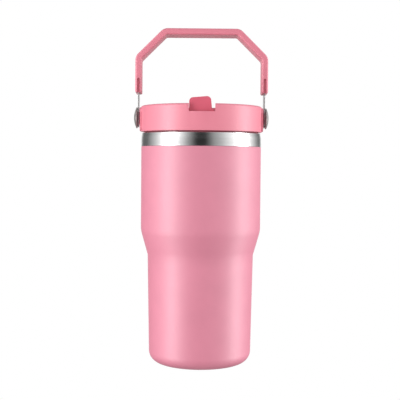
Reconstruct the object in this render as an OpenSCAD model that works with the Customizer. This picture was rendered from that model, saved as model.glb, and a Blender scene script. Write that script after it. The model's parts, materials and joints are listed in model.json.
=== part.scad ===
// Vacuum-insulated tumbler with a screw-in lid, a flip-up drinking spout and a swinging carry handle.
// Millimetres. The origin is at the centre of the base, +Z is up, -Y is the spout's side
// and the handle's pivots lie along X.

/* [Cup] */
// Outer radius of the upper body
body_r = 44; // [43.8:0.1:44.2]
// Outer radius just above the base rounding
foot_r = 37.6; // [37:0.1:38]
// Outer radius at the lower crease
waist_r = 38.9; // [38.5:0.1:39.2]
// Height of the lower crease
waist_z = 79.6; // [76:0.2:82]
// Height at which the straight taper would meet the upper body
shoulder_z = 97.6; // [96:0.2:100]
// Rounding of the crease at the top of the taper
shoulder_round = 20; // [14:1:24]
// Rounding of the edge of the base
base_round = 8.9; // [8:0.1:9.5]
// Top of the painted wall
paint_top = 159.1; // [158.5:0.1:159.5]
// Height of the steel lip
lip_z = 169; // [168.8:0.1:169.1]
// Thickness of the steel sheet
sheet = 0.5; // [0.4:0.05:0.55]
// Space between the outer shell and the liner
vacuum_gap = 2.5; // [2.3:0.1:2.6]
// Width of the flat ring that the cup stands on
foot_ring = 1.5; // [1.2:0.1:2]

/* [Lid] */
// Outer radius of the lid
lid_r = 44.6; // [44.4:0.1:44.8]
// Underside of the lid's skirt
skirt_z = 169.8; // [169.6:0.1:170]
// Top of the lid
lid_top = 188.6; // [188.4:0.1:189]
// Rounding of the lid's top edge
lid_round = 1.8; // [1:0.1:2.2]
// Thickness of the lid's side wall
lid_wall = 2.4; // [2.2:0.1:2.5]
// Distance from the axis to the flat face of each side pad
pad_x = 44.75; // [44.7:0.05:44.9]
// Width of each side pad
pad_w = 23; // [21:0.5:24]
// Width of the notch in the rim
notch_w = 18.2; // [18:0.1:18.6]
// Width of the channel that the spout folds into
channel_w = 20.8; // [20.4:0.1:21]
// Height of the sill at the bottom of the notch
sill_z = 183; // [182.6:0.1:184]
// Underside of the plug
plug_z = 150; // [149.5:0.1:150.5]
// Radius of the plug's wall between the threads
plug_r = 38.4; // [38.2:0.1:38.6]

/* [Spout] */
// Distance of the spout's hinge behind the axis
hinge_y = 6; // [5.5:0.1:6.5]
// Height of the spout's hinge
hinge_z = 179.8; // [179.6:0.1:180]
// Radius of the spout's barrel
barrel_r = 7.6; // [7.5:0.1:7.7]
// Width of the spout
spout_w = 17.4; // [17:0.1:17.6]
// Distance from the axis to the spout's tip
spout_reach = 41.2; // [40.6:0.1:41.4]
// Radius of the drinking bore
bore_r = 3.2; // [3:0.1:3.3]
// Width of the thumb tab
tab_w = 15.8; // [14:0.1:15.9]
// Sideways offset of the thumb tab
tab_shift = -1.05; // [-1.1:0.05:0]
// Top of the thumb tab
tab_top = 193.5; // [192:0.1:195]

/* [Straw] */
// Outer radius of the straw
straw_r = 4; // [3.9:0.05:4.1]
// Thickness of the straw's wall
straw_wall = 0.8; // [0.6:0.1:0.9]
// Height of the straw's lower end
straw_z = 11; // [9:0.5:20]

/* [Handle] */
// Height of the handle's pivots
pivot_z = 180; // [179.8:0.1:180.2]
// Outer half-width of the grip
grip_x = 48.45; // [48.3:0.05:48.6]
// Top of the grip
grip_top = 245; // [240:0.5:250]
// Lower ends of the grip
grip_z = 198; // [197.6:0.1:202]
// Height of the outer corners at the top of the legs
corner_z = 224.4; // [221:0.2:228]
// Depth of the grip from front to back
grip_w = 16; // [14:0.2:17]
// Thickness of the grip
grip_t = 4.6; // [4.4:0.1:5]
// Outer rounding of the grip's corners
grip_round = 7; // [6.6:0.1:9]
// Thickness of the steel strap
strap_t = 0.7; // [0.6:0.05:0.8]
// Width of the steel strap
strap_w = 12; // [11.6:0.1:12.4]
// Lean of the raised handle towards the back, in degrees
handle_lean = 3; // [0:0.5:6]
// Radius of each pivot button
button_r = 7.65; // [7:0.05:8]

/* [Hidden] */
$fn = 96;
eps = 0.05;             // clearance between pieces that turn or lift against each other

pink = [0.95, 0.56, 0.65];
deep_pink = [0.87, 0.42, 0.51];
steel = [0.78, 0.78, 0.79];
silicone = [0.88, 0.86, 0.86];
clear = [0.86, 0.89, 0.92];
foam_white = [0.93, 0.93, 0.9];
brass = [0.78, 0.63, 0.32];
nylon = [0.30, 0.27, 0.28];

// Cup: the liner and the base follow the outer shell
shoulder_slope = atan((body_r - waist_r) / (shoulder_z - waist_z));
liner_inset = 2 * sheet + vacuum_gap;   // from the outside of the cup to the inside of the liner
neck_r = body_r - liner_inset;
foot_in = foot_r - base_round - foot_ring;
hem_z = 3;
plate_z = 1.8;
floor_z = 6.7;
floor_round = 7;
neck_join = 163;        // top of the shell, inside the band
lip_r = body_r - 0.5;
lip_edge = 0.7;         // outer rounding of the lip
lip_bend = 1.2;         // inner rounding of the lip

// Lid: heights inside the cap
deck_z = lid_top - 2.4;
cavity_r = lid_r - lid_wall;
channel_z = 175.8;
channel_wall = 1.8;
seat_r = barrel_r + 0.4;
seat_wall = 2.1;
seat_bottom = 170.9;
flange_z = lip_z + eps;
flange_r = 41.4;        // over the lip, set back under the skirt
flange_top = 170.8;
land_r = neck_r - 0.4;
land_z = 163.5;
groove_z = 164.6;
groove_h = 2.8;
tube_r = 8;
socket_r = 6.2;
vent_y = 27;
cheek_x = 14;
front_wall_y = 42;

// Threads: two starts of short tilted ribs
thread_lead = 8;
rib_angle = 60;
ribs = 4;

// Handle and pivots, as distances from the lid's axis
strap_x = 46.1;
strap_in = strap_x - strap_t / 2;
strap_out = strap_x + strap_t / 2;
eye_r = 7;
bush_r = 3.3;
shoulder_r = 2.5;
screw_r = 2;
screw_end = 38;
head_x = strap_out + 0.4;
rim_x = head_x + 0.8;
crown_x = 49.5;
slot_h = 9.5;
slot_w = 1.9;
groove_y = strap_w / 2 + 0.7;   // floor of the grooves, just outside the strap
grip_edge = 1.3;

// ---- helpers ----

// Points of an arc in a plane
function arc(cx, cy, r, a0, a1, n) =
    [for (i = [0:n]) let (a = a0 + (a1 - a0) * i / n) [cx + r * cos(a), cy + r * sin(a)]];

// A bar along X between x0 and x1
module x_bar(r, x0, x1, y, z) {
    translate([x0, y, z]) rotate([0, 90, 0]) cylinder(r = r, h = x1 - x0);
}

// The same piece on one side of the lid: 1 is +X, -1 is -X
module on_side(side) {
    mirror([side < 0 ? 1 : 0, 0, 0]) children();
}

// A rounded rectangle, centred in X, made of true arcs
module rounded_rect(w, y0, y1, r) {
    translate([-w / 2 + r, y0]) square([w - 2 * r, y1 - y0]);
    translate([-w / 2, y0 + r]) square([w, y1 - y0 - 2 * r]);
    for (x = [-w / 2 + r, w / 2 - r])
        for (y = [y0 + r, y1 - r])
            translate([x, y]) circle(r = r);
}

// One thread start: ribs of `profile` (children, in radius and height), each tilted to the helix
module thread_start(r, z, turn) {
    tilt = atan(thread_lead / (2 * PI * r));
    for (i = [0:ribs - 1])
        translate([0, 0, z + thread_lead * rib_angle * i / 360])
            rotate([0, 0, turn + rib_angle * i])
                rotate([tilt, 0, 0])
                    rotate([0, 0, -rib_angle / 2])
                        rotate_extrude(angle = rib_angle + 0.4) children();
}

// ---- cup ----

// The cup's outer line from the top of the base rounding to the neck, moved inwards by `inset`
function cup_wall(inset) =
    let (lean = shoulder_slope,
         t = shoulder_round * tan(lean / 2),
         cz = shoulder_z + t,
         rr = shoulder_round - inset)
    concat([[foot_r - inset, base_round], [waist_r - inset, waist_z + inset * tan(lean / 2)]],
           arc(body_r - shoulder_round, cz, rr, -lean, 0, 6));

// The rounding at the foot of the cup's wall
function cup_foot(inset) =
    arc(foot_r - base_round, base_round, base_round - inset, -90, 0, 10);

module outer_shell() {
    neck_in = body_r - sheet - eps;
    color(pink)
        rotate_extrude()
            polygon(concat(
                [[foot_in - sheet, hem_z], [foot_in - sheet, 0.6], [foot_in, 0]],
                cup_foot(0), cup_wall(0),
                [[body_r, paint_top], [neck_in, paint_top + sheet], [neck_in, neck_join],
                 [neck_in - sheet, neck_join], [neck_in - sheet, paint_top]],
                [for (i = [len(cup_wall(sheet)) - 1:-1:0]) cup_wall(sheet)[i]],
                [for (i = [len(cup_foot(sheet)) - 1:-1:0]) cup_foot(sheet)[i]],
                [[foot_in + 0.2, sheet], [foot_in, 0.8], [foot_in, hem_z]]));
}

// The liner's mouth turns outwards over the shell and comes down as the bare band
module inner_liner() {
    outside = liner_inset - sheet;
    wall_out = cup_wall(outside);
    wall_in = cup_wall(liner_inset);
    foot_x = foot_r - liner_inset - floor_round;
    color(steel) {
        rotate_extrude()
            polygon(concat(
                [[0, floor_z - sheet]],
                arc(foot_x, floor_z + floor_round, floor_round + sheet, -90, 0, 8),
                [for (i = [1:len(wall_out) - 1]) wall_out[i]],
                arc(neck_r + lip_bend, lip_z - lip_bend, lip_bend - sheet, 180, 90, 6),
                arc(lip_r - lip_edge, lip_z - lip_edge, lip_edge - sheet, 90, 0, 3),
                [[body_r - sheet, neck_join], [body_r - sheet, paint_top + sheet + eps],
                 [body_r, paint_top + eps], [body_r, neck_join]],
                arc(lip_r - lip_edge, lip_z - lip_edge, lip_edge, 0, 90, 5),
                arc(neck_r + lip_bend, lip_z - lip_bend, lip_bend, 90, 180, 6),
                [for (i = [len(wall_in) - 1:-1:1]) wall_in[i]],
                arc(foot_x, floor_z + floor_round, floor_round, 0, -90, 8),
                [[0, floor_z]]));
        for (turn = [0, 180])
            thread_start(neck_r, 154.5, turn)
                polygon([[neck_r + 0.2, -1.3], [neck_r - 0.9, -0.4],
                         [neck_r - 0.9, 0.4], [neck_r + 0.2, 1.3]]);
    }
}

module base_plate() {
    r = foot_in - sheet - eps;
    color(steel)
        rotate_extrude()
            polygon([[1.5, plate_z + 0.8], [5, plate_z + 0.8], [6.5, plate_z],
                     [r - 0.6, plate_z], [r, plate_z + 0.6], [r, hem_z], [r - sheet, hem_z],
                     [r - sheet, plate_z + 0.9], [r - 0.9, plate_z + sheet], [6.7, plate_z + sheet],
                     [5.2, plate_z + 0.8 + sheet], [1.5, plate_z + 0.8 + sheet]]);
}

module vacuum_getter() {
    color([0.5, 0.5, 0.52])
        translate([14, 0, plate_z + sheet]) {
            cylinder(r = 5, h = 1.2);
            cylinder(r = 3.8, h = 1.8);
        }
}

module evacuation_seal() {
    color([0.35, 0.33, 0.3])
        translate([0, 0, plate_z]) {
            cylinder(r = 1.5, h = 1.9);
            translate([0, 0, 0.2]) cylinder(r1 = 2.2, r2 = 3.4, h = 0.6);
        }
}

// ---- lid ----

// A pad on +X, with rounded corners
module side_pad() {
    translate([35, 0, 0])
        rotate([90, 0, 90])
            linear_extrude(pad_x - 35)
                rounded_rect(pad_w, skirt_z + 0.4, lid_top - 1.4, 3.5);
}

// The body of the cap: a skirt with a top deck and the two pads
module cap_body() {
    difference() {
        union() {
            rotate_extrude()
                polygon(concat([[0, skirt_z], [lid_r - 0.5, skirt_z]],
                               arc(lid_r - 0.5, skirt_z + 0.5, 0.5, -90, 0, 4),
                               arc(lid_r - lid_round, lid_top - lid_round, lid_round, 0, 90, 6),
                               [[0, lid_top]]));
            for (side = [-1, 1]) on_side(side) side_pad();
        }
        translate([0, 0, skirt_z - 1]) cylinder(r = cavity_r, h = deck_z - skirt_z + 1);
    }
}

// Walls under the deck, round the vent and the pivot inserts
module cap_bosses() {
    intersection() {
        translate([0, 0, seat_bottom]) cylinder(r = cavity_r + 0.2, h = lid_top - lid_round - seat_bottom);
        union() {
            translate([0, vent_y, seat_bottom]) cylinder(r = 5, h = 20);
            for (side = [-1, 1]) on_side(side) x_bar(5.5, 36, lid_r, 0, pivot_z);
        }
    }
}

// The channel and the round seat of the spout's barrel, open at the top
module spout_space() {
    translate([-channel_w / 2, -front_wall_y, channel_z])
        cube([channel_w, front_wall_y + hinge_y, 40]);
    x_bar(seat_r, -channel_w / 2, channel_w / 2, hinge_y, hinge_z);
    translate([-channel_w / 2, hinge_y - seat_r, hinge_z])
        cube([channel_w, 2 * seat_r, 40]);
}

module lid_cap() {
    color(pink)
        difference() {
            union() {
                cap_body();
                cap_bosses();
            }
            spout_space();
            // notch in the rim
            translate([-notch_w / 2, -lid_r - 5, sill_z])
                cube([notch_w, lid_r + 5, 40]);
            // pivot inserts and the vent
            for (side = [-1, 1]) on_side(side) x_bar(3.2, screw_end - 1, lid_r + 5, 0, pivot_z);
            translate([0, vent_y, seat_bottom - 1]) cylinder(r = 3, h = deck_z - seat_bottom + 1);
            translate([0, vent_y, skirt_z]) cylinder(r = 1.2, h = 30);
            translate([0, vent_y, lid_top - 0.8]) cylinder(r1 = 2.2, r2 = 3.4, h = 1);
        }
}

// Trough under the deck's opening, with the seat and the pins' cheeks at its back
module spout_cradle() {
    color(pink)
        difference() {
            union() {
                difference() {
                    intersection() {
                        translate([0, 0, seat_bottom])
                            cylinder(r = cavity_r - eps, h = deck_z - seat_bottom);
                        union() {
                            translate([-channel_w / 2 - channel_wall, -lid_r, channel_z - channel_wall])
                                cube([channel_w + 2 * channel_wall, lid_r + hinge_y, 40]);
                            translate([-cheek_x, hinge_y - seat_r - seat_wall, seat_bottom])
                                cube([2 * cheek_x, 2 * (seat_r + seat_wall), 40]);
                        }
                    }
                    spout_space();
                    // open in front, where the cap's wall closes it
                    translate([-channel_w / 2, -lid_r, channel_z]) cube([channel_w, lid_r, 40]);
                }
                // bosses that keep the barrel in the middle
                for (side = [-1, 1])
                    on_side(side) x_bar(3.2, spout_w / 2 + 0.2, channel_w / 2 + 0.5, hinge_y, hinge_z);
            }
            // port under the barrel and the pins' holes
            translate([0, hinge_y, seat_bottom - 1]) cylinder(r = 5.6, h = 8);
            x_bar(1.5, -cheek_x - 1, cheek_x + 1, hinge_y, hinge_z);
        }
}

// The plug closes the cap from below and screws into the neck
module lid_plug() {
    wall = 1.8;
    color(pink)
        difference() {
            union() {
                difference() {
                    union() {
                        rotate_extrude()
                            polygon(concat([[0, plug_z]],
                                arc(plug_r - 2, plug_z + 2, 2, -90, 0, 5),
                                [[plug_r, land_z - 1], [land_r, land_z], [land_r, groove_z],
                                 [plug_r - 0.2, groove_z], [plug_r - 0.2, groove_z + groove_h],
                                 [land_r, groove_z + groove_h], [land_r, flange_z],
                                 [flange_r, flange_z], [flange_r, skirt_z + 0.2],
                                 [cavity_r - eps, skirt_z + 0.2], [cavity_r - eps, flange_top],
                                 [0, flange_top]]));
                        for (turn = [0, 180])
                            thread_start(plug_r, 154, turn)
                                polygon([[plug_r - 0.4, -1.4], [neck_r - 1.05, -0.5],
                                         [neck_r - 1.05, 0.5], [plug_r - 0.4, 1.4]]);
                    }
                    translate([0, 0, plug_z + wall])
                        cylinder(r = plug_r - wall, h = flange_z - plug_z - wall);
                }
                translate([0, vent_y, plug_z]) cylinder(r = 6, h = flange_top - plug_z);
            }
            translate([0, hinge_y, plug_z - 1]) cylinder(r = tube_r + eps, h = flange_top - plug_z + 2);
            translate([0, vent_y, plug_z + wall]) cylinder(r = 4.5, h = flange_top - plug_z);
            translate([0, vent_y, plug_z - 1]) cylinder(r = 1.5, h = wall + 2);
            for (i = [0:3])
                translate([0, vent_y, plug_z - 1]) rotate([0, 0, 45 + 90 * i])
                    translate([3.1, 0, 0]) cylinder(r = 0.8, h = wall + 2);
        }
}

// Tube through the plug, welded in at both ends, that holds the straw's socket
module straw_tube() {
    color(pink)
        translate([0, hinge_y, plug_z])
            difference() {
                cylinder(r = tube_r, h = flange_top - plug_z);
                translate([0, 0, -1]) cylinder(r = socket_r, h = flange_top - plug_z + 2);
            }
}

module lid_foam() {
    color(foam_white)
        difference() {
            translate([0, 0, plug_z + 1.9]) cylinder(r = plug_r - 1.9, h = flange_z - plug_z - 2);
            translate([0, hinge_y, plug_z]) cylinder(r = tube_r + 0.1, h = 30);
            translate([0, vent_y, plug_z]) cylinder(r = 6.1, h = 30);
        }
}

// Two-lipped ring in the plug's groove
module lid_gasket() {
    inner = plug_r - 0.2 + eps;
    outer = neck_r - eps;
    z0 = groove_z + eps;
    z1 = groove_z + groove_h - eps;
    color(silicone)
        rotate_extrude()
            polygon([[inner, z0], [outer - 0.5, z0], [outer, z0 + 0.35], [outer, z0 + 0.75],
                     [outer - 0.7, z0 + 1.05], [outer - 0.7, z1 - 1.05], [outer, z1 - 0.75],
                     [outer, z1 - 0.35], [outer - 0.5, z1], [inner, z1]]);
}

// Ring that the barrel turns against
module port_seal() {
    color(silicone)
        difference() {
            translate([0, hinge_y, 169.5]) cylinder(r = 5.5, h = 6);
            translate([0, hinge_y, 169]) cylinder(r = bore_r, h = 10);
            x_bar(barrel_r + eps, -10, 10, hinge_y, hinge_z);
        }
}

module straw_socket() {
    color(silicone)
        translate([0, hinge_y, 0])
            rotate_extrude()
                polygon([[straw_r, 152], [socket_r, 152], [socket_r, 169.4], [bore_r, 169.4],
                         [bore_r, 167.4], [straw_r, 167]]);
}

module straw() {
    color(clear)
        translate([0, hinge_y, 0])
            difference() {
                translate([0, 0, straw_z]) cylinder(r = straw_r, h = 166.9 - straw_z);
                translate([0, 0, straw_z - 1]) cylinder(r = straw_r - straw_wall, h = 170);
                // slanted lower end
                translate([-straw_r - 1, -straw_r - 1, straw_z - 12])
                    rotate([30, 0, 0]) cube([2 * straw_r + 2, 20, 8]);
            }
}

// Umbrella valve: lets air in as the drink goes out
module vent_valve() {
    color(silicone)
        translate([0, vent_y, 0])
            rotate_extrude()
                polygon([[0, plug_z - 1.6], [3, plug_z - 1.4], [5.6, plug_z - 0.5], [5.6, plug_z - 0.1],
                         [1.45, plug_z - 0.4], [1.45, plug_z + 1.9], [2.2, plug_z + 2.2],
                         [1.2, plug_z + 4], [0, plug_z + 4]]);
}

// ---- spout ----

// Outline of the thumb tab, a little higher on its +X side
module tab_outline() {
    left = tab_shift - tab_w / 2;
    right = tab_shift + tab_w / 2;
    polygon(concat([[right, hinge_z], [right, sill_z + 1.9]],
                   arc(right - 3.45, tab_top - 2.9, 2.9, 6, 88, 6),
                   arc(left + 2.8, tab_top - 3.6, 2.8, 92, 180, 6),
                   [[left, hinge_z]]));
}

module spout() {
    body_top = 184.9;
    body_low = 176.6;
    color(deep_pink)
        difference() {
            union() {
                x_bar(barrel_r, -spout_w / 2, spout_w / 2, hinge_y, hinge_z);
                translate([0, hinge_y, 0])
                    rotate([90, 0, 0])
                        linear_extrude(spout_reach + hinge_y)
                            rounded_rect(spout_w, body_low, body_top, 2.6);
                translate([0, -spout_reach + 2.6, 0])
                    rotate([90, 0, 0])
                        linear_extrude(2.6) tab_outline();
                // fillet behind the tab
                translate([tab_shift - tab_w / 2 + 1.2, -spout_reach + 2.6, body_top])
                    rotate([0, 90, 0])
                        linear_extrude(tab_w - 2.4)
                            difference() {
                                translate([-3.5, 0]) square([4.5, 3.5]);
                                translate([-3.5, 3.5]) circle(r = 3.5);
                            }
            }
            // drinking bore, straight through the barrel
            translate([0, hinge_y + barrel_r + 1, hinge_z])
                rotate([90, 0, 0]) cylinder(r = bore_r, h = spout_reach + hinge_y + barrel_r + 2);
            // trunnion holes
            for (side = [-1, 1]) on_side(side) x_bar(1.55, 5.3, spout_w / 2 + 1, hinge_y, hinge_z);
        }
}

module spout_pin(side) {
    color(steel) on_side(side) x_bar(1.5, 5.5, cheek_x - 0.2, hinge_y, hinge_z);
}

// ---- handle pivots ----

module pivot_insert(side) {
    color(brass)
        on_side(side)
            difference() {
                x_bar(3.2, screw_end - 0.9, pad_x - eps, 0, pivot_z);
                x_bar(screw_r, screw_end - 2, pad_x + 1, 0, pivot_z);
            }
}

// Shoulder screw with a domed head on a thick rim
module pivot_stud(side) {
    dome = crown_x - rim_x;
    dome_r = (button_r * button_r + dome * dome) / (2 * dome);
    dome_a = asin((button_r - 0.4) / dome_r);
    color([0.62, 0.58, 0.56])
        on_side(side)
            translate([0, 0, pivot_z])
                rotate([0, 90, 0])
                    rotate_extrude()
                        polygon(concat(
                            [[0, screw_end], [screw_r, screw_end], [screw_r, pad_x], [shoulder_r, pad_x],
                             [shoulder_r, head_x], [button_r - 0.4, head_x],
                             [button_r, head_x + 0.4], [button_r, rim_x]],
                            arc(0, crown_x - dome_r, dome_r, 90 - dome_a, 90, 10)));
}

module wave_washer(side) {
    color(steel)
        on_side(side)
            difference() {
                x_bar(4.2, strap_out + eps, head_x - eps, 0, pivot_z);
                x_bar(shoulder_r + eps, strap_out - 1, head_x + 1, 0, pivot_z);
            }
}

// Flanged bush pressed into the strap's eye
module strap_bush(side) {
    color(nylon)
        on_side(side)
            difference() {
                union() {
                    x_bar(4.6, pad_x + eps, strap_in, 0, pivot_z);
                    x_bar(bush_r, pad_x + eps, strap_out, 0, pivot_z);
                }
                x_bar(shoulder_r + eps, pad_x - 1, strap_out + 1, 0, pivot_z);
            }
}

// ---- handle ----

// Centres of the roundings at the top of the right leg and at the right end of the bar
diagonal = grip_x + corner_z - grip_round * sqrt(2);
arcs = [[grip_x - grip_round, diagonal - (grip_x - grip_round)],
        [diagonal - (grip_top - grip_round), grip_top - grip_round]];

// Stations along the bail from the right leg's end to the left one's: centre of curvature and outward angle
function bail(z_end) =
    concat([[arcs[0].x, z_end, 0]],
           [for (i = [0:6]) [arcs[0].x, arcs[0].y, 45 * i / 6]],
           [for (i = [0:6]) [arcs[1].x, arcs[1].y, 45 + 45 * i / 6]],
           [for (i = [0:6]) [-arcs[1].x, arcs[1].y, 90 + 45 * i / 6]],
           [for (i = [0:6]) [-arcs[0].x, arcs[0].y, 135 + 45 * i / 6]],
           [[-arcs[0].x, z_end, 180]]);

// The point of station s that lies `inset` inside the bail's outer line
function bail_point(s, inset) =
    [s.x + (grip_round - inset) * cos(s.z), s.y + (grip_round - inset) * sin(s.z)];

// Leans the raised handle back about its pivots
module leaning() {
    translate([0, 0, pivot_z]) rotate([-handle_lean, 0, 0]) translate([0, 0, -pivot_z]) children();
}

// One bent strap, its ends at height z_end
module strap_band(z_end) {
    stations = bail(z_end);
    n = len(stations);
    rotate([90, 0, 0])
        linear_extrude(strap_w, center = true)
            polygon(concat([for (s = stations) bail_point(s, grip_x - strap_out)],
                           [for (i = [n - 1:-1:0]) bail_point(stations[i], grip_x - strap_in)]));
}

module handle_strap() {
    color(steel)
        leaning()
            difference() {
                union() {
                    strap_band(pivot_z);
                    for (side = [-1, 1]) on_side(side) x_bar(eye_r, strap_in, strap_out, 0, pivot_z);
                }
                for (side = [-1, 1]) on_side(side) x_bar(bush_r, strap_in - 1, strap_out + 1, 0, pivot_z);
            }
}

// Section of the grip as [depth below its outer face, place across], with rounded edges
function grip_section() =
    let (e = grip_edge, w = grip_w / 2 - e)
    concat(arc(e, w, e, 180, 90, 4), arc(grip_t - e, w, e, 90, 0, 4),
           arc(grip_t - e, -w, e, 0, -90, 4), arc(e, -w, e, -90, -180, 4));

// The section drawn in by `d` all round, for the rounded ends of the legs
function drawn_in(points, d) =
    [for (p = points) [grip_t / 2 + (p.x - grip_t / 2) * (1 - 2 * d / grip_t), p.y * (1 - 2 * d / grip_w)]];

module grip_solid() {
    inner = bail(grip_z + 0.6);
    low = [inner[0].x, grip_z, 0];
    mid = [inner[0].x, grip_z + 0.2, 0];
    far = [-inner[0].x, grip_z, 180];
    far_mid = [-inner[0].x, grip_z + 0.2, 180];
    stations = concat([low, mid], inner, [far_mid, far]);
    n = len(stations);
    m = len(grip_section());
    draw = [for (i = [0:n - 1]) i == 0 || i == n - 1 ? 0.5 : i == 1 || i == n - 2 ? 0.15 : 0];
    points = [for (i = [0:n - 1])
                  for (p = drawn_in(grip_section(), draw[i]))
                      let (q = bail_point(stations[i], p.x)) [q.x, p.y, q.y]];
    polyhedron(points,
               concat([[for (j = [0:m - 1]) j]],
                      [for (i = [0:n - 2]) for (j = [0:m - 1])
                          [i * m + j, (i + 1) * m + j, (i + 1) * m + (j + 1) % m, i * m + (j + 1) % m]],
                      [[for (j = [m - 1:-1:0]) (n - 1) * m + j]]));
}

module handle_grip() {
    color(pink)
        leaning()
            difference() {
                grip_solid();
                strap_band(grip_z - 1);
                // grooves in the front and back of the legs' ends
                for (side = [-1, 1], y = [-grip_w - groove_y, groove_y])
                    on_side(side) {
                        translate([strap_x - slot_w / 2, y, grip_z - 1])
                            cube([slot_w, grip_w, slot_h + 1]);
                        translate([strap_x, y, grip_z + slot_h])
                            rotate([-90, 0, 0]) cylinder(r = slot_w / 2, h = grip_w);
                    }
            }
}

outer_shell();
inner_liner();
base_plate();
vacuum_getter();
evacuation_seal();
lid_cap();
spout_cradle();
lid_plug();
straw_tube();
lid_foam();
lid_gasket();
port_seal();
straw_socket();
straw();
vent_valve();
spout();
spout_pin(-1);  // spout_pin_left
spout_pin(1);  // spout_pin_right
pivot_insert(-1);  // pivot_insert_left
pivot_insert(1);  // pivot_insert_right
pivot_stud(-1);  // pivot_stud_left
pivot_stud(1);  // pivot_stud_right
wave_washer(-1);  // wave_washer_left
wave_washer(1);  // wave_washer_right
strap_bush(-1);  // strap_bush_left
strap_bush(1);  // strap_bush_right
handle_strap();
handle_grip();
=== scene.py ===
"""Looks of the insulated tumbler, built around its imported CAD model. Metres, in the CAD frame."""
import json
import math

import bmesh
import bpy
import numpy as np
from mathutils import Matrix, Vector


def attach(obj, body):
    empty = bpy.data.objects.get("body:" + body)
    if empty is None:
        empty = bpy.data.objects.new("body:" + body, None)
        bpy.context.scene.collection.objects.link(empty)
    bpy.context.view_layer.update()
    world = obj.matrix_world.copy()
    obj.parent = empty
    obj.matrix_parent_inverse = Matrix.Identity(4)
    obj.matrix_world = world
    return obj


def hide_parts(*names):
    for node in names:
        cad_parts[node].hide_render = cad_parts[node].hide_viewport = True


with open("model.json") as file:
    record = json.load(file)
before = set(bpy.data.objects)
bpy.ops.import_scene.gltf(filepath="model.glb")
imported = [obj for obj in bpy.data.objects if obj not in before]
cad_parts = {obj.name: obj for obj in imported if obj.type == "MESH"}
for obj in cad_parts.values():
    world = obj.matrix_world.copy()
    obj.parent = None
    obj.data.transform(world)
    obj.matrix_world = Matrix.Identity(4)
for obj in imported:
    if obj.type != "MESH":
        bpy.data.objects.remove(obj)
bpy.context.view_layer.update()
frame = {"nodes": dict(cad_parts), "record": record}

MM = 0.001

# Cup, in millimetres, as in the CAD model
BODY_R = 44.0
FOOT_R = 37.6
WAIST_R = 38.9
WAIST_Z = 79.6
SHOULDER_Z = 97.6
SHOULDER_ROUND = 20.0
BASE_ROUND = 8.9
PAINT_TOP = 159.1
LIP_Z = 169.0
SHEET = 0.5
LINER_INSET = 3.5
FOOT_RING = 1.5
NECK_JOIN = 163.0
LIP_EDGE = 0.7
LIP_BEND = 1.2
FLOOR_Z = 6.7
FLOOR_ROUND = 7.0
PAINT_EDGE = 0.35
HEM_Z = 3.0
GAP = 0.05          # between faces that only just miss each other
LIP_INSET = 0.5     # the lip stands this much inside the body
BAND_EDGE = 0.12    # rounding at the band's lower edge

# Rolled thread in the neck, whose two starts are half a turn apart
THREAD_LEAD = 8.0
THREAD_TURN = 240.0
THREAD_LOW = 154.5
THREAD_DEPTH = 0.9
THREAD_HALF = 1.3
THREAD_FADE = 25    # degrees over which a start rises and sinks away
THREAD_LATE = 30    # degrees between a start's beginning and the height THREAD_LOW
THREAD_ZONE = (152.0, 164.0)
THREAD_STEP = 0.35

# Handle
GRIP_X = 48.45
GRIP_TOP = 245.0
GRIP_Z = 198.0
CORNER_Z = 224.4
GRIP_W = 16.0
GRIP_T = 4.6
GRIP_ROUND = 7.0
GRIP_EDGE = 1.3
GRIP_END = [(0.0, 1.0), (0.13, 0.5), (0.5, 0.13)]    # up from the leg's end, section drawn in
GROOVE_W = 1.9
GROOVE_H = 9.5
GROOVE_Y = 6.7
CUTTER_PAST = 3.0   # how far a groove's cutter runs past the leg's end
HANDLE_LEAN = math.radians(3)
STRAP_X = 46.1
STRAP_T = 0.7
STRAP_W = 12.0
EYE_R = 7.0
STRAP_EDGE = 0.16
EYE_TIP = 0.4       # half width at which the eye's outline is cut off
BUSH_R = 3.3
BUSH_CUT = (40.0, 52.0)
PIVOT_Z = 180.0
BAIL_STEPS = 14     # stations round each corner

# Pivot studs, as distances from the lid's axis
PAD_X = 44.75
SCREW_END = 38.0
SCREW_R = 2.0
SHOULDER_R = 2.5
SEAT_R = 4.2
BACK_ROUND = 0.4
RIM_ROUND = 0.3
HEAD_X = STRAP_X + STRAP_T / 2 + 0.4
RIM_X = HEAD_X + 0.8
CROWN_X = 49.5
BUTTON_R = 7.65

# Camera
CAMERA_DISTANCE = 0.6679
CAMERA_HEIGHT = 0.149
CAMERA_PITCH = math.radians(2.5)
CAMERA_ROLL = 0.0081
CAMERA_YAW = math.radians(0.65)
CAMERA_AIM = 0.00075
CAMERA_LENS = 81.4
SENSOR = 36.0

# Studio: brightness by degrees to the right of the camera, seen from the object
PANELS = [(-180, 0.7), (-165, 0.66), (-152, 0.2), (-135, 0.11), (-118, 0.2), (-93, 0.6), (-74, 0.95),
          (-50, 0.95), (-32, 0.48), (-14, 0.08), (1, 0.02), (10, 0.045), (22, 0.25), (42, 0.5), (62, 0.86),
          (98, 0.88), (118, 0.52), (136, 0.19), (152, 0.2), (165, 0.66), (180, 0.7)]
PANEL_GAIN = 1.4
PANEL_RISE = 1.1


# ---- camera and stage ----

def make_camera():
    data = bpy.data.cameras.new("camera")
    data.lens = CAMERA_LENS
    data.sensor_width = SENSOR
    data.clip_end = 20
    camera = bpy.data.objects.new("camera", data)
    bpy.context.scene.collection.objects.link(camera)
    place = Matrix.Translation((-CAMERA_DISTANCE * math.sin(CAMERA_YAW),
                                -CAMERA_DISTANCE * math.cos(CAMERA_YAW), CAMERA_HEIGHT))
    heading = Matrix.Rotation(CAMERA_AIM - CAMERA_YAW, 4, "Z")
    pitch = Matrix.Rotation(math.pi / 2 - CAMERA_PITCH, 4, "X")
    roll = Matrix.Rotation(CAMERA_ROLL, 4, "Z")
    camera.matrix_world = place @ heading @ pitch @ roll
    bpy.context.scene.camera = camera


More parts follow.
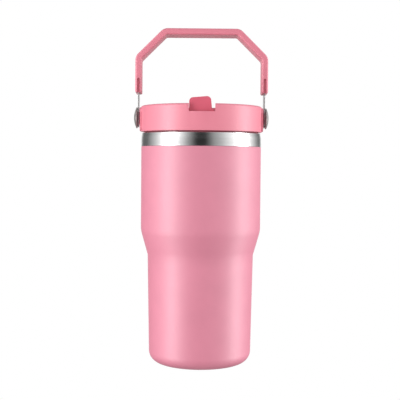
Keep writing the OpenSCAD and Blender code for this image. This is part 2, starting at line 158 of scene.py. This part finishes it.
def area_light(name, place, target, size, power):
    data = bpy.data.lights.new(name, "AREA")
    data.shape = "RECTANGLE"
    data.size, data.size_y = size
    data.energy = power
    light = bpy.data.objects.new(name, data)
    bpy.context.scene.collection.objects.link(light)
    light.location = place
    light.rotation_mode = "QUATERNION"
    light.rotation_quaternion = (Vector(target) - Vector(place)).to_track_quat("-Z", "Y")
    return light


def polar(azimuth, distance, height):
    """A place seen `azimuth` degrees to the right of the camera's side, round the object's axis."""
    a = math.radians(azimuth)
    return (distance * math.sin(a), -distance * math.cos(a), height)


def make_world():
    """White to the camera. What lights the object is a studio: dark behind the camera, a tall soft
    panel with faded edges on either side, a third one behind the object, and dim above and below."""
    world = bpy.data.worlds.new("studio")
    world.use_nodes = True
    bpy.context.scene.world = world
    nt = world.node_tree
    nt.nodes.clear()

    def made(kind, operation=None, *values):
        node = nt.nodes.new(kind)
        if operation:
            node.operation = operation
        for socket, value in zip(node.inputs, values):
            if isinstance(value, bpy.types.NodeSocket):
                nt.links.new(value, socket)
            elif value is not None:
                socket.default_value = value
        return node

    def ranged(value, start, end, low, high):
        node = made("ShaderNodeMapRange", None, value, start, end, low, high)
        node.interpolation_type = "SMOOTHSTEP"
        return node.outputs["Result"]

    way = made("ShaderNodeSeparateXYZ", None, made("ShaderNodeTexCoord").outputs["Generated"])
    ahead = made("ShaderNodeMath", "MULTIPLY", way.outputs["Y"], -1.0)
    azimuth = made("ShaderNodeMath", "ARCTAN2", way.outputs["X"], ahead.outputs[0])
    around = made("ShaderNodeMapRange", None, azimuth.outputs[0], -math.pi, math.pi, 0.0, 1.0)
    panels = made("ShaderNodeValToRGB", None, around.outputs["Result"])
    ramp = panels.color_ramp
    ramp.interpolation = "CARDINAL"
    for _ in PANELS[2:]:
        ramp.elements.new(0.5)
    for stop, (degrees, level) in zip(ramp.elements, PANELS):
        stop.position = (degrees + 180) / 360
        stop.color = (level, level, level, 1)
    high = ranged(way.outputs["Z"], 0.0, 0.55, PANEL_GAIN, PANEL_GAIN * PANEL_RISE)
    top = ranged(way.outputs["Z"], 0.72, 0.95, 1.0, 0.12)
    bottom = ranged(way.outputs["Z"], -0.8, -0.02, 0.34, 1.0)
    ends = made("ShaderNodeMath", "MULTIPLY", top, bottom)
    gain = made("ShaderNodeMath", "MULTIPLY", high, ends.outputs[0])
    room = made("ShaderNodeBackground", None, panels.outputs["Color"], gain.outputs[0])
    white = made("ShaderNodeBackground", None, (1, 1, 1, 1))
    mix = made("ShaderNodeMixShader", None, made("ShaderNodeLightPath").outputs["Is Camera Ray"],
               room.outputs[0], white.outputs[0])
    nt.links.new(mix.outputs[0], made("ShaderNodeOutputWorld").inputs["Surface"])


def make_lights():
    """Bright strips in the middle of the panels, for the soft highlights on the paint, and a faint
    front fill that shows in no reflection."""
    area_light("left_strip", polar(-62, 0.9, 0.14), (0, 0, 0.13), (0.34, 1.2), 7.8)
    area_light("right_strip", polar(84, 0.9, 0.14), (0, 0, 0.13), (0.42, 1.2), 7.8)
    fill = area_light("fill", polar(4, 1.6, 0.1), (0, 0, 0.14), (1.0, 1.0), 7)
    fill.visible_glossy = False


# ---- mesh helpers ----

def arc(cx, cz, r, a0, a1, n):
    """n + 1 points of an arc, angles in degrees."""
    return [(cx + r * math.cos(math.radians(a0 + (a1 - a0) * i / n)),
             cz + r * math.sin(math.radians(a0 + (a1 - a0) * i / n))) for i in range(n + 1)]


def between(a, b, step):
    """Points from a to b, ends left out, no further apart than step."""
    n = max(1, math.ceil(math.dist(a, b) / step))
    return [(a[0] + (b[0] - a[0]) * i / n, a[1] + (b[1] - a[1]) * i / n) for i in range(1, n)]


def clean_mesh(name, points, faces):
    """A mesh from points in millimetres, with doubles merged and its faces turned outwards."""
    mesh = bpy.data.meshes.new(name)
    mesh.from_pydata([tuple(c * MM for c in p) for p in points], [], faces)
    clean = bmesh.new()
    clean.from_mesh(mesh)
    bmesh.ops.remove_doubles(clean, verts=clean.verts, dist=1e-7)
    bmesh.ops.recalc_face_normals(clean, faces=clean.faces)
    clean.to_mesh(mesh)
    clean.free()
    return mesh


def shade(mesh, sharp):
    """Shaded smooth except at edges sharper than `sharp` degrees."""
    mesh.shade_smooth()
    mesh.set_sharp_from_angle(angle=math.radians(sharp))


def piece_from(name, points, faces, body, replaced, sharp):
    """A piece that rides a body and takes the place of the CAD nodes in `replaced`."""
    mesh = clean_mesh(name, points, faces)
    shade(mesh, sharp)
    piece = bpy.data.objects.new(name, mesh)
    bpy.context.scene.collection.objects.link(piece)
    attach(piece, body)
    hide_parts(*replaced)
    return piece


def lathe(profile, segments=192, bump=None):
    """Points and faces of a closed profile turned about Z. `bump(r, z, angle)` may move a point
    in radius."""
    n = len(profile)
    points, rings = [], []
    for r, z in profile:
        if r < 1e-6:
            rings.append([len(points)] * segments)
            points.append((0.0, 0.0, z))
            continue
        rings.append(list(range(len(points), len(points) + segments)))
        for s in range(segments):
            a = 2 * math.pi * s / segments
            rr = r + (bump(r, z, a) if bump else 0.0)
            points.append((rr * math.cos(a), rr * math.sin(a), z))
    faces = []
    for i in range(n):
        low, high = rings[i], rings[(i + 1) % n]
        for s in range(segments):
            t = (s + 1) % segments
            quad = [low[s], low[t], high[t], high[s]]
            face = [v for k, v in enumerate(quad) if v not in quad[:k]]
            if len(face) > 2:
                faces.append(face)
    return points, faces


# ---- procedural materials ----

class Shader:
    """A Principled material with a few shorthands for its nodes."""

    def __init__(self, name, color, roughness, metallic=0.0):
        self.material = bpy.data.materials.new(name)
        self.material.use_nodes = True
        self.tree = self.material.node_tree
        self.bsdf = self.tree.nodes["Principled BSDF"]
        self.bsdf.inputs["Base Color"].default_value = (*color, 1)
        self.bsdf.inputs["Roughness"].default_value = roughness
        self.bsdf.inputs["Metallic"].default_value = metallic
        self.coords = self.tree.nodes.new("ShaderNodeTexCoord")

    def node(self, kind, **values):
        made = self.tree.nodes.new(kind)
        for key, value in values.items():
            setattr(made, key, value)
        return made

    def link(self, a, b):
        self.tree.links.new(a, b)

    def mapped(self, scale):
        mapping = self.node("ShaderNodeMapping")
        mapping.inputs["Scale"].default_value = scale
        self.link(self.coords.outputs["Object"], mapping.inputs["Vector"])
        return mapping.outputs["Vector"]

    def noise(self, scale, detail=2.0, stretch=(1, 1, 1), distortion=0.0):
        noise = self.node("ShaderNodeTexNoise")
        noise.inputs["Scale"].default_value = scale
        noise.inputs["Detail"].default_value = detail
        noise.inputs["Distortion"].default_value = distortion
        self.link(self.mapped(stretch), noise.inputs["Vector"])
        return noise.outputs["Fac"]

    def ranged(self, value, low, high):
        """The middle of a noise's values, 0.3 to 0.7, spread from low to high."""
        ranged = self.node("ShaderNodeMapRange")
        ranged.inputs["From Min"].default_value = 0.3
        ranged.inputs["From Max"].default_value = 0.7
        ranged.inputs["To Min"].default_value = low
        ranged.inputs["To Max"].default_value = high
        self.link(value, ranged.inputs["Value"])
        return ranged.outputs["Result"]

    def mix(self, value, first, second):
        mix = self.node("ShaderNodeMix", data_type="RGBA")
        self.link(value, mix.inputs[0])
        for k, colour in ((6, first), (7, second)):
            if isinstance(colour, tuple):
                mix.inputs[k].default_value = (*colour, 1)
            else:
                self.link(colour, mix.inputs[k])
        return mix.outputs[2]

    def bumps(self, *layers):
        """Layers of (height, strength, distance in metres), one over the other."""
        normal = None
        for height, strength, distance in layers:
            bump = self.node("ShaderNodeBump")
            bump.inputs["Strength"].default_value = strength
            bump.inputs["Distance"].default_value = distance
            self.link(height, bump.inputs["Height"])
            if normal:
                self.link(normal, bump.inputs["Normal"])
            normal = bump.outputs["Normal"]
        self.link(normal, self.bsdf.inputs["Normal"])

    def set_color(self, socket):
        self.link(socket, self.bsdf.inputs["Base Color"])

    def set_roughness(self, socket):
        self.link(socket, self.bsdf.inputs["Roughness"])

    def set(self, **values):
        for key, value in values.items():
            self.bsdf.inputs[key.replace("_", " ")].default_value = value


def tone(color, k):
    return tuple(min(1.0, c * k) for c in color)


def powder_coat():
    """Satin powder coat: a fine orange peel over a finer grain, with the faintest mottling."""
    color = (0.62, 0.209, 0.286)
    m = Shader("powder_coat", color, 0.46)
    m.set_color(m.mix(m.ranged(m.noise(60, 3), 0, 1), tone(color, 0.97), tone(color, 1.03)))
    m.set_roughness(m.ranged(m.noise(900, 2), 0.42, 0.5))
    m.bumps((m.noise(1500, 2), 0.15, 0.00004), (m.noise(5200, 1), 0.2, 0.00001))
    m.set(Specular_IOR_Level=0.85)
    return m.material


def moulded_plastic(name, color, roughness):
    """Injection-moulded plastic with a fine spark-eroded texture."""
    m = Shader(name, color, roughness)
    m.set_color(m.mix(m.ranged(m.noise(45, 2), 0, 1), tone(color, 0.98), tone(color, 1.02)))
    m.set_roughness(m.ranged(m.noise(700, 3), roughness - 0.04, roughness + 0.05))
    m.bumps((m.noise(2600, 2), 0.06, 0.000006), (m.noise(260, 1), 0.06, 0.00003))
    m.set(Specular_IOR_Level=0.7)
    return m.material


def spun_steel(name, color, roughness, fine=5200):
    """Steel with hair-fine lines that run round Z."""
    m = Shader(name, color, roughness, 1.0)
    lines = m.noise(1, 4, stretch=(14, 14, fine))
    broad = m.noise(1, 2, stretch=(6, 6, fine / 9))
    m.set_color(m.mix(m.ranged(lines, 0, 1), tone(color, 0.93), tone(color, 1.04)))
    m.set_roughness(m.ranged(broad, roughness - 0.03, roughness + 0.05))
    m.bumps((lines, 0.16, 0.00001))
    m.set(Anisotropic=0.35)
    return m.material


def along_steel(name, color, roughness, stretch):
    """Steel brushed along one direction."""
    m = Shader(name, color, roughness, 1.0)
    lines = m.noise(1, 4, stretch=stretch)
    m.set_color(m.mix(m.ranged(lines, 0, 1), tone(color, 0.88), tone(color, 1.06)))
    m.set_roughness(m.ranged(m.noise(300, 3), roughness - 0.05, roughness + 0.06))
    m.bumps((lines, 0.2, 0.00001))
    return m.material


def button_steel():
    """Turned dome: rings round the pivot axis, a little stained."""
    color = (0.47, 0.43, 0.42)
    m = Shader("button_steel", color, 0.4, 0.8)
    rings = m.noise(1, 3, stretch=(5200, 30, 30))
    stain = m.noise(220, 4, distortion=0.6)
    m.set_color(m.mix(m.ranged(stain, 0, 1), tone(color, 0.84), tone(color, 1.1)))
    m.set_roughness(m.ranged(stain, 0.34, 0.46))
    m.bumps((rings, 0.12, 0.00001))
    return m.material


def silicone():
    """Soft, slightly cloudy silicone."""
    color = (0.74, 0.72, 0.71)
    m = Shader("silicone", color, 0.5)
    m.set_color(m.mix(m.ranged(m.noise(150, 3), 0, 1), tone(color, 0.94), tone(color, 1.05)))
    m.bumps((m.noise(2000, 2), 0.15, 0.00003))
    m.set(Subsurface_Weight=0.35, Subsurface_Scale=0.003)
    return m.material


def clear_plastic():
    """Smoky clear straw with faint flow lines."""
    color = (0.88, 0.91, 0.93)
    m = Shader("straw_plastic", color, 0.12)
    m.set_roughness(m.ranged(m.noise(1, 3, stretch=(900, 900, 8)), 0.08, 0.18))
    m.bumps((m.noise(1, 2, stretch=(700, 700, 5)), 0.1, 0.00002))
    m.set(Transmission_Weight=0.85, IOR=1.45)
    return m.material


def plain_grain(name, color, roughness, scale, metallic=0.0):
    """A simple cast or foamed surface with visible grain."""
    m = Shader(name, color, roughness, metallic)
    grain = m.noise(scale, 4)
    m.set_color(m.mix(m.ranged(grain, 0, 1), tone(color, 0.85), tone(color, 1.1)))
    m.set_roughness(m.ranged(grain, roughness - 0.05, roughness + 0.08))
    m.bumps((grain, 0.3, 0.00005))
    return m.material


PINK_LID = (0.7, 0.21, 0.275)
# Spout pink, darker than the lid's: painted shade for the tab standing recessed in the lid's notch
PINK_TAB_PAINTED_SHADE = (0.62, 0.10, 0.155)

MATERIALS = {
    "powder_coat": powder_coat(),
    "bare_steel": spun_steel("bare_steel", (0.72, 0.72, 0.72), 0.17),
    "getter_metal": plain_grain("getter_metal", (0.12, 0.12, 0.12), 0.6, 900, 0.6),
    "lid_plastic": moulded_plastic("lid_plastic", PINK_LID, 0.42),
    # Plug: dark maroon, painted shade for the thin gap under the lid's skirt where its edge shows
    "plug_plastic": moulded_plastic("plug_plastic", (0.3, 0.055, 0.075), 0.45),
    "foam": plain_grain("foam", (0.8, 0.8, 0.76), 0.8, 500),
    "silicone": silicone(),
    "straw_plastic": clear_plastic(),
    # the spout's darker pink is painted shade of the notch, not a pink of its own
    "spout_plastic": moulded_plastic("spout_plastic", PINK_TAB_PAINTED_SHADE, 0.38),
    "insert_brass": along_steel("insert_brass", (0.72, 0.5, 0.2), 0.35, (10, 1800, 1800)),
    "button_steel": button_steel(),
    "strap_steel": along_steel("strap_steel", (0.52, 0.51, 0.51), 0.34, (4000, 2600, 20)),
    # Nylon at the pivots: dark, with a maroon tint that paints the shade in the gap between strap and pad
    "nylon": moulded_plastic("nylon", (0.10, 0.03, 0.035), 0.5),
    "grip_plastic": moulded_plastic("grip_plastic", tone(PINK_LID, 0.94), 0.42),
}


def give(piece, slot):
    piece.data.materials.clear()
    piece.data.materials.append(MATERIALS[slot])


# ---- cup ----

LEAN = math.degrees(math.atan((BODY_R - WAIST_R) / (SHOULDER_Z - WAIST_Z)))


def cup_wall(inset):
    """The cup's line from the top of the base rounding to the upper body, moved inwards."""
    half = math.tan(math.radians(LEAN / 2))
    centre = SHOULDER_Z + SHOULDER_ROUND * half
    low = (FOOT_R - inset, BASE_ROUND)
    crease = (WAIST_R - inset, WAIST_Z + inset * half)
    top = arc(BODY_R - SHOULDER_ROUND, centre, SHOULDER_ROUND - inset, -LEAN, 0, 14)
    return [low, *between(low, crease, 6), crease, *between(crease, top[0], 4), *top]


def cup_foot(inset):
    return arc(FOOT_R - BASE_ROUND, BASE_ROUND, BASE_ROUND - inset, -90, 0, 20)


def painted_shell():
    """The outer shell, with a rounded edge where its paint ends."""
    foot_in = FOOT_R - BASE_ROUND - FOOT_RING
    neck_in = BODY_R - SHEET - GAP
    outside = [*cup_foot(0), *cup_wall(0)[1:]]
    inside = [*cup_foot(SHEET), *cup_wall(SHEET)[1:]]
    rounded_edge = arc(BODY_R - PAINT_EDGE, PAINT_TOP - PAINT_EDGE, PAINT_EDGE, 0, 90, 4)
    profile = [(foot_in - SHEET, HEM_Z), (foot_in - SHEET, 0.6), (foot_in, 0.0), *outside,
               *rounded_edge, (neck_in, PAINT_TOP), (neck_in, NECK_JOIN), (neck_in - SHEET, NECK_JOIN),
               (neck_in - SHEET, PAINT_TOP), *reversed(inside), (foot_in + 0.2, SHEET),
               (foot_in, 0.8), (foot_in, HEM_Z)]
    points, faces = lathe(profile, 256)
    piece = piece_from("painted_shell", points, faces, "cup", ["outer_shell"], 22)
    give(piece, "powder_coat")


def thread_bump(z, angle):
    """How far the neck's inner wall is moved at a point, for its two rolled thread starts."""
    depth = 0.0
    for start in (0, 1):
        turned = (math.degrees(angle) - 180 * start + THREAD_LATE) % 360
        if turned < THREAD_TURN:
            height = THREAD_LOW + THREAD_LEAD * (turned - THREAD_LATE) / 360
            fade = min(1.0, turned / THREAD_FADE, (THREAD_TURN - turned) / THREAD_FADE)
            off = abs(z - height) / THREAD_HALF
            if off < 1:
                depth = max(depth, THREAD_DEPTH * fade * 0.5 * (1 + math.cos(math.pi * off)))
    return -depth


def steel_liner():
    """The liner, whose mouth turns outwards over the shell and comes down as the bare band."""
    outside = LINER_INSET - SHEET
    neck_r = BODY_R - LINER_INSET
    lip_r = BODY_R - LIP_INSET
    bend = (neck_r + LIP_BEND, LIP_Z - LIP_BEND)
    edge = (lip_r - LIP_EDGE, LIP_Z - LIP_EDGE)
    foot_x = FOOT_R - LINER_INSET - FLOOR_ROUND
    wall_out, wall_in = cup_wall(outside)[1:], cup_wall(LINER_INSET)[1:]
    neck_low = (neck_r, THREAD_ZONE[0])
    # the band's outside: straight, then easing in to the lip
    band = [(BODY_R - LIP_INSET * ((z - NECK_JOIN) / (edge[1] - NECK_JOIN)) ** 2, z)
            for z in np.linspace(NECK_JOIN, edge[1], 8)[:-1]]
    profile = [(0, FLOOR_Z - SHEET), *arc(foot_x, FLOOR_Z + FLOOR_ROUND, FLOOR_ROUND + SHEET, -90, 0, 14),
               *wall_out, *arc(*bend, LIP_BEND - SHEET, 180, 90, 8),
               *arc(*edge, LIP_EDGE - SHEET, 90, 0, 4),
               (BODY_R - SHEET, NECK_JOIN), (BODY_R - SHEET, PAINT_TOP + SHEET + GAP),
               (BODY_R - BAND_EDGE, PAINT_TOP + GAP), (BODY_R, PAINT_TOP + GAP + BAND_EDGE), *band,
               *arc(*edge, LIP_EDGE, 0, 90, 8), *arc(*bend, LIP_BEND, 90, 180, 12),
               *between((neck_r, bend[1]), neck_low, THREAD_STEP), neck_low, *reversed(wall_in),
               *arc(foot_x, FLOOR_Z + FLOOR_ROUND, FLOOR_ROUND, 0, -90, 14), (0, FLOOR_Z)]

    def bump(r, z, angle):
        in_neck = abs(r - neck_r) < 0.01 and THREAD_ZONE[0] < z < THREAD_ZONE[1]
        return thread_bump(z, angle) if in_neck else 0.0

    points, faces = lathe(profile, 256, bump)
    piece = piece_from("steel_liner", points, faces, "cup", ["inner_liner"], 40)
    give(piece, "bare_steel")


# ---- handle ----

def bail_stations(z_end):
    """Stations along the bail: centre of curvature and outward angle, from one leg's end to the other's."""
    diagonal = GRIP_X + CORNER_Z - GRIP_ROUND * math.sqrt(2)
    leg = (GRIP_X - GRIP_ROUND, diagonal - (GRIP_X - GRIP_ROUND))
    bar = (diagonal - (GRIP_TOP - GRIP_ROUND), GRIP_TOP - GRIP_ROUND)
    made = [(leg[0], z_end, 0.0)]
    corners = [(leg[0], leg[1], 0), (bar[0], bar[1], 45), (-bar[0], bar[1], 90), (-leg[0], leg[1], 135)]
    for x, z, start in corners:
        made += [(x, z, start + 45 * i / BAIL_STEPS) for i in range(BAIL_STEPS + 1)]
    return made + [(-leg[0], z_end, 180.0)]


def leaned(points):
    """The raised handle's points, leaned back about its pivots."""
    s, c = math.sin(HANDLE_LEAN), math.cos(HANDLE_LEAN)
    return [(x, y * c + (z - PIVOT_Z) * s, PIVOT_Z + (z - PIVOT_Z) * c - y * s) for x, y, z in points]


def rounded_section(low, high, half, edge, steps, drawn=0.0):
    """A section as (depth, across) from depth `low` to `high`, with rounded edges, drawn in all round."""
    w, r = half - edge, edge - drawn
    return [*arc(low + edge, w, r, 180, 90, steps), *arc(high - edge, w, r, 90, 0, steps),
            *arc(high - edge, -w, r, 0, -90, steps), *arc(low + edge, -w, r, -90, -180, steps)]


def bail_ring(station, section):
    """A section's points at a station of the bail. Depths count inwards from the grip's outside."""
    x, z, a = station
    out = (math.cos(math.radians(a)), math.sin(math.radians(a)))
    return [(x + (GRIP_ROUND - depth) * out[0], across, z + (GRIP_ROUND - depth) * out[1])
            for depth, across in section]


def sweep(rings):
    """Points and faces of closed rings joined in order and capped."""
    m = len(rings[0])
    points = [p for ring in rings for p in ring]
    faces = [list(range(m)), list(range(len(points) - m, len(points)))]
    for i in range(len(rings) - 1):
        for j in range(m):
            k = (j + 1) % m
            faces.append([i * m + j, i * m + k, (i + 1) * m + k, (i + 1) * m + j])
    return points, faces


def cut(piece, cutters):
    """Takes the cutters, which are removed, out of the piece."""
    for cutter in cutters:
        modifier = piece.modifiers.new("cut", "BOOLEAN")
        modifier.object = cutter
        modifier.operation = "DIFFERENCE"
        modifier.solver = "EXACT"
    bpy.context.view_layer.update()
    evaluated = piece.evaluated_get(bpy.context.evaluated_depsgraph_get())
    mesh = bpy.data.meshes.new_from_object(evaluated)
    piece.modifiers.clear()
    piece.data = mesh
    for cutter in cutters:
        bpy.data.objects.remove(cutter)
    shade(mesh, 40)


def cutter_from(points, faces):
    """A closed solid for cut() to use up."""
    cutter = bpy.data.objects.new("cutter", clean_mesh("cutter", points, faces))
    bpy.context.scene.collection.objects.link(cutter)
    return cutter


def groove_cutter(side, face):
    """A round-topped groove up the front or the back of one leg's end."""
    half = GROOVE_W / 2
    low = GRIP_Z - CUTTER_PAST
    outline = [(STRAP_X + half, low), *arc(STRAP_X, GRIP_Z + GROOVE_H, half, 0, 180, 16),
               (STRAP_X - half, low)]
    rings = [[(side * x, face * y, z) for x, z in outline] for y in (GROOVE_Y, GRIP_W)]
    points, faces = sweep(rings)
    return cutter_from(leaned(points), faces)


def handle_grip():
    """The faceted grip, with a groove up each side of its legs' ends."""
    def section(drawn=0.0):
        return rounded_section(0.0, GRIP_T, GRIP_W / 2, GRIP_EDGE, 7, drawn)

    middle = bail_stations(GRIP_Z + 1)
    rings = [bail_ring((middle[0][0], GRIP_Z + up, 0.0), section(drawn)) for up, drawn in GRIP_END]
    rings += [bail_ring(station, section()) for station in middle]
    rings += [bail_ring((middle[-1][0], GRIP_Z + up, 180.0), section(drawn))
              for up, drawn in reversed(GRIP_END)]
    points, faces = sweep(rings)
    piece = piece_from("grip", leaned(points), faces, "handle", ["handle_grip"], 50)
    cut(piece, [groove_cutter(side, face) for side in (1, -1) for face in (1, -1)])
    give(piece, "grip_plastic")


def eye_cutter(side):
    """A bar along X that cuts the bush's hole in one eye of the strap."""
    start, end = BUSH_CUT
    points, faces = lathe([(0, start), (BUSH_R, start), (BUSH_R, end), (0, end)], 64)
    return cutter_from([(side * z, x, PIVOT_Z + y) for x, y, z in points], faces)


def handle_strap():
    """One bent strap, round at both ends, where its eyes turn on the pivots."""
    depth = GRIP_X - STRAP_X
    half = STRAP_W / 2
    shoulder = math.degrees(math.asin(half / EYE_R))

    def section(wide):
        return rounded_section(depth - STRAP_T / 2, depth + STRAP_T / 2, wide, STRAP_EDGE, 3)

    middle = bail_stations(PIVOT_Z)
    ends = [(EYE_R * math.sin(a), EYE_R * math.cos(a))
            for a in np.radians(np.linspace(86, shoulder - 90, 18))]
    rings = [bail_ring((middle[0][0], PIVOT_Z - down, 0.0), section(max(wide, EYE_TIP)))
             for down, wide in ends]
    rings += [bail_ring(station, section(half)) for station in middle[1:-1]]
    rings += [bail_ring((middle[-1][0], PIVOT_Z - down, 180.0), section(max(wide, EYE_TIP)))
              for down, wide in reversed(ends)]
    points, faces = sweep(rings)
    piece = piece_from("strap", leaned(points), faces, "handle", ["handle_strap"], 40)
    cut(piece, [eye_cutter(1), eye_cutter(-1)])
    give(piece, "strap_steel")


def pivot_stud(side, name):
    """Shoulder screw with a thick rounded rim and a low dome."""
    dome = CROWN_X - RIM_X
    dome_r = (BUTTON_R ** 2 + dome ** 2) / (2 * dome)
    dome_a = math.degrees(math.asin((BUTTON_R - 0.35) / dome_r))
    profile = [(0, SCREW_END), (SCREW_R - 0.3, SCREW_END), (SCREW_R, SCREW_END + 0.3), (SCREW_R, PAD_X),
               (SHOULDER_R, PAD_X), (SHOULDER_R, HEAD_X), (SEAT_R, HEAD_X),
               *arc(BUTTON_R - BACK_ROUND, HEAD_X + BACK_ROUND, BACK_ROUND, -90, 0, 5),
               *arc(BUTTON_R - RIM_ROUND, RIM_X - 0.1, RIM_ROUND, 0, 60, 3),
               *arc(0, CROWN_X - dome_r, dome_r, 90 - dome_a, 90, 22)]
    points, faces = lathe(profile, 96)
    piece = piece_from(f"button_{name}", [(side * z, x, PIVOT_Z + y) for x, y, z in points], faces,
                       "lid", [f"pivot_stud_{name}"], 40)
    give(piece, "button_steel")


# ---- assembly ----

SOFT_EDGES = {"lid_cap": 0.25, "spout": 0.3}


def soften(node, width):
    """Breaks the sharp edges of a CAD node with modifiers, which leave its mesh as it is."""
    weld = node.modifiers.new("weld", "WELD")
    weld.merge_threshold = 1e-6
    bevel = node.modifiers.new("bevel", "BEVEL")
    bevel.width = width * MM
    bevel.segments = 2
    bevel.limit_method = "ANGLE"
    bevel.angle_limit = math.radians(40)
    bevel.harden_normals = True


def finish_cad_nodes():
    """Gives every CAD node that still shows its own material, and breaks the edges that a hand meets."""
    slots = {row["node"]: row["material_slot"] for row in frame["record"]["subparts"]}
    for name, node in frame["nodes"].items():
        if node.hide_render:
            continue
        give(node, slots[name])
        if name in SOFT_EDGES:
            soften(node, SOFT_EDGES[name])


def main():
    make_camera()
    make_world()
    make_lights()
    painted_shell()
    steel_liner()
    handle_grip()
    handle_strap()
    pivot_stud(1, "right")
    pivot_stud(-1, "left")
    finish_cad_nodes()
    bpy.context.scene.view_settings.view_transform = "Standard"


main()
